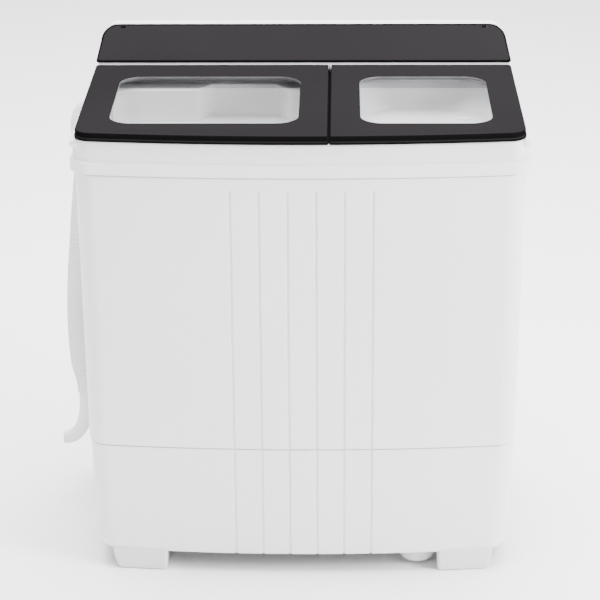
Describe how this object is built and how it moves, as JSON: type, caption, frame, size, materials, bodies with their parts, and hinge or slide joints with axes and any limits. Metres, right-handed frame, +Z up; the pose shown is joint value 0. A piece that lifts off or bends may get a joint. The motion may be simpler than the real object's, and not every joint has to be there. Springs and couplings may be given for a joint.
{
  "type": "twin tub washer",
  "caption": "Semi-automatic twin tub washing machine: bowed white cabinet, wash tub and spin tub under flat windowed lids, sloped rear console, side drain hose.",
  "frame": {"origin": "on the floor, under the middle of the machine without its drain hose", "axes": "+X to the machine's right as seen from the front, +Y to the rear, +Z up"},
  "size_m": [0.7894, 0.455, 0.8292],
  "materials": {
    "white_plastic": "fine satin moulded plastic",
    "tub_plastic": "smooth white plastic",
    "dark_plastic": "smooth dark grey gloss",
    "clear_plastic": "clear polished",
    "hose_plastic": "soft white plastic",
    "grey_plastic": "matte grey",
    "machine_metal": "grey enamel",
    "cast_metal": "cast, machined rim",
    "bright_steel": "bright",
    "black_rubber": "matte black"
  },
  "bodies": {
    "root": {"cabinet_shell": "white_plastic", "base_shell": "white_plastic", "rear_cover": "white_plastic", "top_deck": "white_plastic", "console_housing": "white_plastic", "foot_front_left": "white_plastic", "foot_front_right": "white_plastic", "foot_rear_left": "white_plastic", "foot_rear_right": "white_plastic", "well_cap": "white_plastic", "inlet_port": "white_plastic", "wash_tub": "tub_plastic", "overflow_column": "tub_plastic", "spin_tub": "tub_plastic", "drain_valve": "tub_plastic", "drain_elbow": "hose_plastic", "drain_hose": "hose_plastic", "hose_nozzle": "hose_plastic", "control_plate": "grey_plastic", "drain_riser": "grey_plastic", "drain_pump": "grey_plastic", "lid_switch": "grey_plastic", "wash_timer": "grey_plastic", "spin_timer": "grey_plastic", "drain_selector": "grey_plastic", "wash_motor": "machine_metal", "spin_motor": "machine_metal", "wash_drive_plate": "machine_metal", "pulsator_bearing": "machine_metal", "wash_hinge_rod": "bright_steel", "spin_hinge_rod": "bright_steel", "cover_hinge_rod": "bright_steel", "damper_spring_1": "bright_steel", "damper_spring_2": "bright_steel", "damper_spring_3": "bright_steel", "drive_belt": "black_rubber", "shaft_seal": "black_rubber", "brake_cable": "black_rubber", "mains_gland": "black_rubber"},
    "wash_lid": {"wash_lid_frame": "dark_plastic", "wash_lid_window": "clear_plastic"},
    "spin_lid": {"spin_lid_frame": "dark_plastic", "spin_lid_window": "clear_plastic"},
    "control_cover": {"control_cover": "dark_plastic"},
    "wash_timer_knob": {"wash_timer_knob": "white_plastic"},
    "spin_timer_knob": {"spin_timer_knob": "white_plastic"},
    "drain_selector_knob": {"drain_selector_knob": "white_plastic"},
    "drain_valve_plunger": {"drain_valve_plunger": "black_rubber"},
    "pulsator": {"pulsator": "tub_plastic", "pulsator_shaft": "bright_steel", "drive_pulley": "cast_metal"},
    "motor_pulley": {"motor_pulley": "cast_metal"},
    "spin_basket": {"spin_basket": "tub_plastic", "spin_shaft": "bright_steel", "brake_drum": "cast_metal"},
    "safety_disc": {"safety_disc": "tub_plastic"},
    "brake_lever": {"brake_lever": "bright_steel"},
    "lid_switch_plunger": {"lid_switch_plunger": "black_rubber"},
    "lint_filter": {"lint_filter": "grey_plastic"},
    "levelling_foot": {"levelling_foot": "white_plastic"}
  },
  "joints": [
    {"name": "wash_lid_hinge", "type": "hinge", "parent": "root", "child": "wash_lid", "pos_m": [-0.1531, 0.15, 0.766], "axis": [-1, 0, 0], "range_deg": [0, 100]},
    {"name": "spin_lid_hinge", "type": "hinge", "parent": "root", "child": "spin_lid", "pos_m": [0.1979, 0.15, 0.766], "axis": [-1, 0, 0], "range_deg": [0, 100]},
    {"name": "control_cover_hinge", "type": "hinge", "parent": "root", "child": "control_cover", "pos_m": [0, 0.2032, 0.82474], "axis": [-1, 0, 0], "range_deg": [0, 150]},
    {"name": "wash_timer_turn", "type": "hinge", "parent": "root", "child": "wash_timer_knob", "pos_m": [-0.2, 0.19189, 0.78777], "axis": [0, 0.7749, -0.632], "range_deg": [0, 300]},
    {"name": "spin_timer_turn", "type": "hinge", "parent": "root", "child": "spin_timer_knob", "pos_m": [0.2, 0.19189, 0.78777], "axis": [0, 0.7749, -0.632], "range_deg": [0, 300]},
    {"name": "drain_selector_turn", "type": "hinge", "parent": "root", "child": "drain_selector_knob", "pos_m": [0, 0.19189, 0.78777], "axis": [0, 0.7749, -0.632], "range_deg": [0, 90]},
    {"name": "drain_valve_lift", "type": "slide", "parent": "root", "child": "drain_valve_plunger", "axis": [0, 0, 1], "range_m": [0, 0.0121]},
    {"name": "pulsator_spin", "type": "hinge", "parent": "root", "child": "pulsator", "pos_m": [-0.15, -0.03, 0.3], "axis": [0, 0, 1], "continuous": true},
    {"name": "motor_pulley_spin", "type": "hinge", "parent": "root", "child": "motor_pulley", "pos_m": [-0.255, 0.1, 0.2125], "axis": [0, 0, 1], "continuous": true},
    {"name": "basket_spin", "type": "hinge", "parent": "root", "child": "spin_basket", "pos_m": [0.195, -0.06, 0.4], "axis": [0, 0, 1], "continuous": true},
    {"name": "safety_disc_lift", "type": "slide", "parent": "spin_basket", "child": "safety_disc", "axis": [0, 0, 1], "range_m": [0, 0.2]},
    {"name": "brake_lever_pivot", "type": "hinge", "parent": "root", "child": "brake_lever", "pos_m": [0.257, -0.02, 0.277], "axis": [0, 0, -1], "range_deg": [0, 1.75]},
    {"name": "lid_switch_travel", "type": "slide", "parent": "root", "child": "lid_switch_plunger", "axis": [0, 0, 1], "range_m": [0, 0.0041]},
    {"name": "lint_filter_lift", "type": "slide", "parent": "root", "child": "lint_filter", "axis": [0, 0, 1], "range_m": [0, 0.06]},
    {"name": "levelling_foot_turn", "type": "hinge", "parent": "root", "child": "levelling_foot", "pos_m": [0.192, -0.155, 0.02], "axis": [0, 0, 1], "range_deg": [-720, 720]}
  ],
  "couplings": [
    {"joint": "drain_valve_lift", "follows": "drain_selector_turn", "m_per_rad": 0.0076394},
    {"joint": "motor_pulley_spin", "follows": "pulsator_spin", "ratio": 4},
    {"joint": "brake_lever_pivot", "follows": "spin_lid_hinge", "ratio": 0.017},
    {"joint": "lid_switch_travel", "follows": "spin_lid_hinge", "m_per_rad": 0.0022918}
  ]
}
